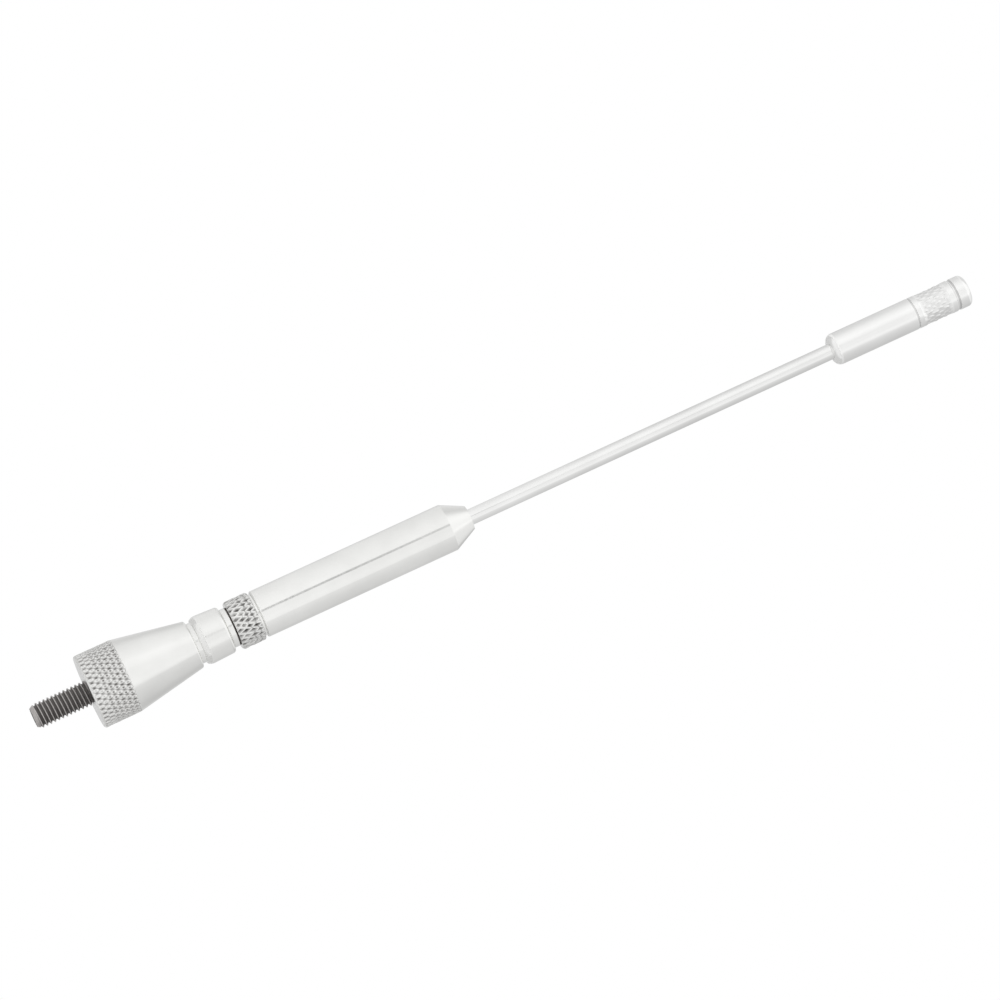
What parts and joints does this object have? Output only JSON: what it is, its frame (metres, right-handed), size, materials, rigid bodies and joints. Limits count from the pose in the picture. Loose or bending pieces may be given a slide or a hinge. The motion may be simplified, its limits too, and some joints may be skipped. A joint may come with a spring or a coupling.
{
  "type": "car mast aerial",
  "caption": "Short turned-aluminium car aerial mast: knurled foot with a cone, a screwed joint, a plain barrel with a knurled collar, a thin rod and a thick tip, on a threaded mounting stud.",
  "frame": {"origin": "centre of the foot's seating face, where the mounting stud leaves it", "axes": "+Z along the mast towards the tip; the mounting stud points along -Z"},
  "size_m": [0.0182, 0.0182, 0.2425],
  "materials": {
    "black_steel": "black-oxide set screw, lightly oiled, with bare crest lines",
    "turned_aluminium": "fine turned and lightly polished, satin, diamond knurls left as rolled",
    "zinc_steel": "bright zinc-plated set screw",
    "black_rubber": "matt black rubber",
    "polished_aluminium": "drawn and polished, soft sheen"
  },
  "bodies": {
    "foot": {"mounting_stud": "black_steel", "base": "turned_aluminium"},
    "washer": {"joint_washer": "black_rubber"},
    "mast": {"joining_stud": "zinc_steel", "barrel": "turned_aluminium", "rod": "polished_aluminium", "tip": "polished_aluminium"}
  },
  "joints": [
    {"name": "mast_rise", "type": "slide", "parent": "foot", "child": "washer", "axis": [0, 0, 1], "range_m": [0, 0.009]},
    {"name": "mast_turn", "type": "hinge", "parent": "washer", "child": "mast", "pos_m": [0, 0, 0.0365], "axis": [0, 0, 1], "range_deg": [0, 3240]}
  ],
  "couplings": [
    {"joint": "mast_turn", "follows": "mast_rise", "rad_per_m": 6283.2}
  ]
}
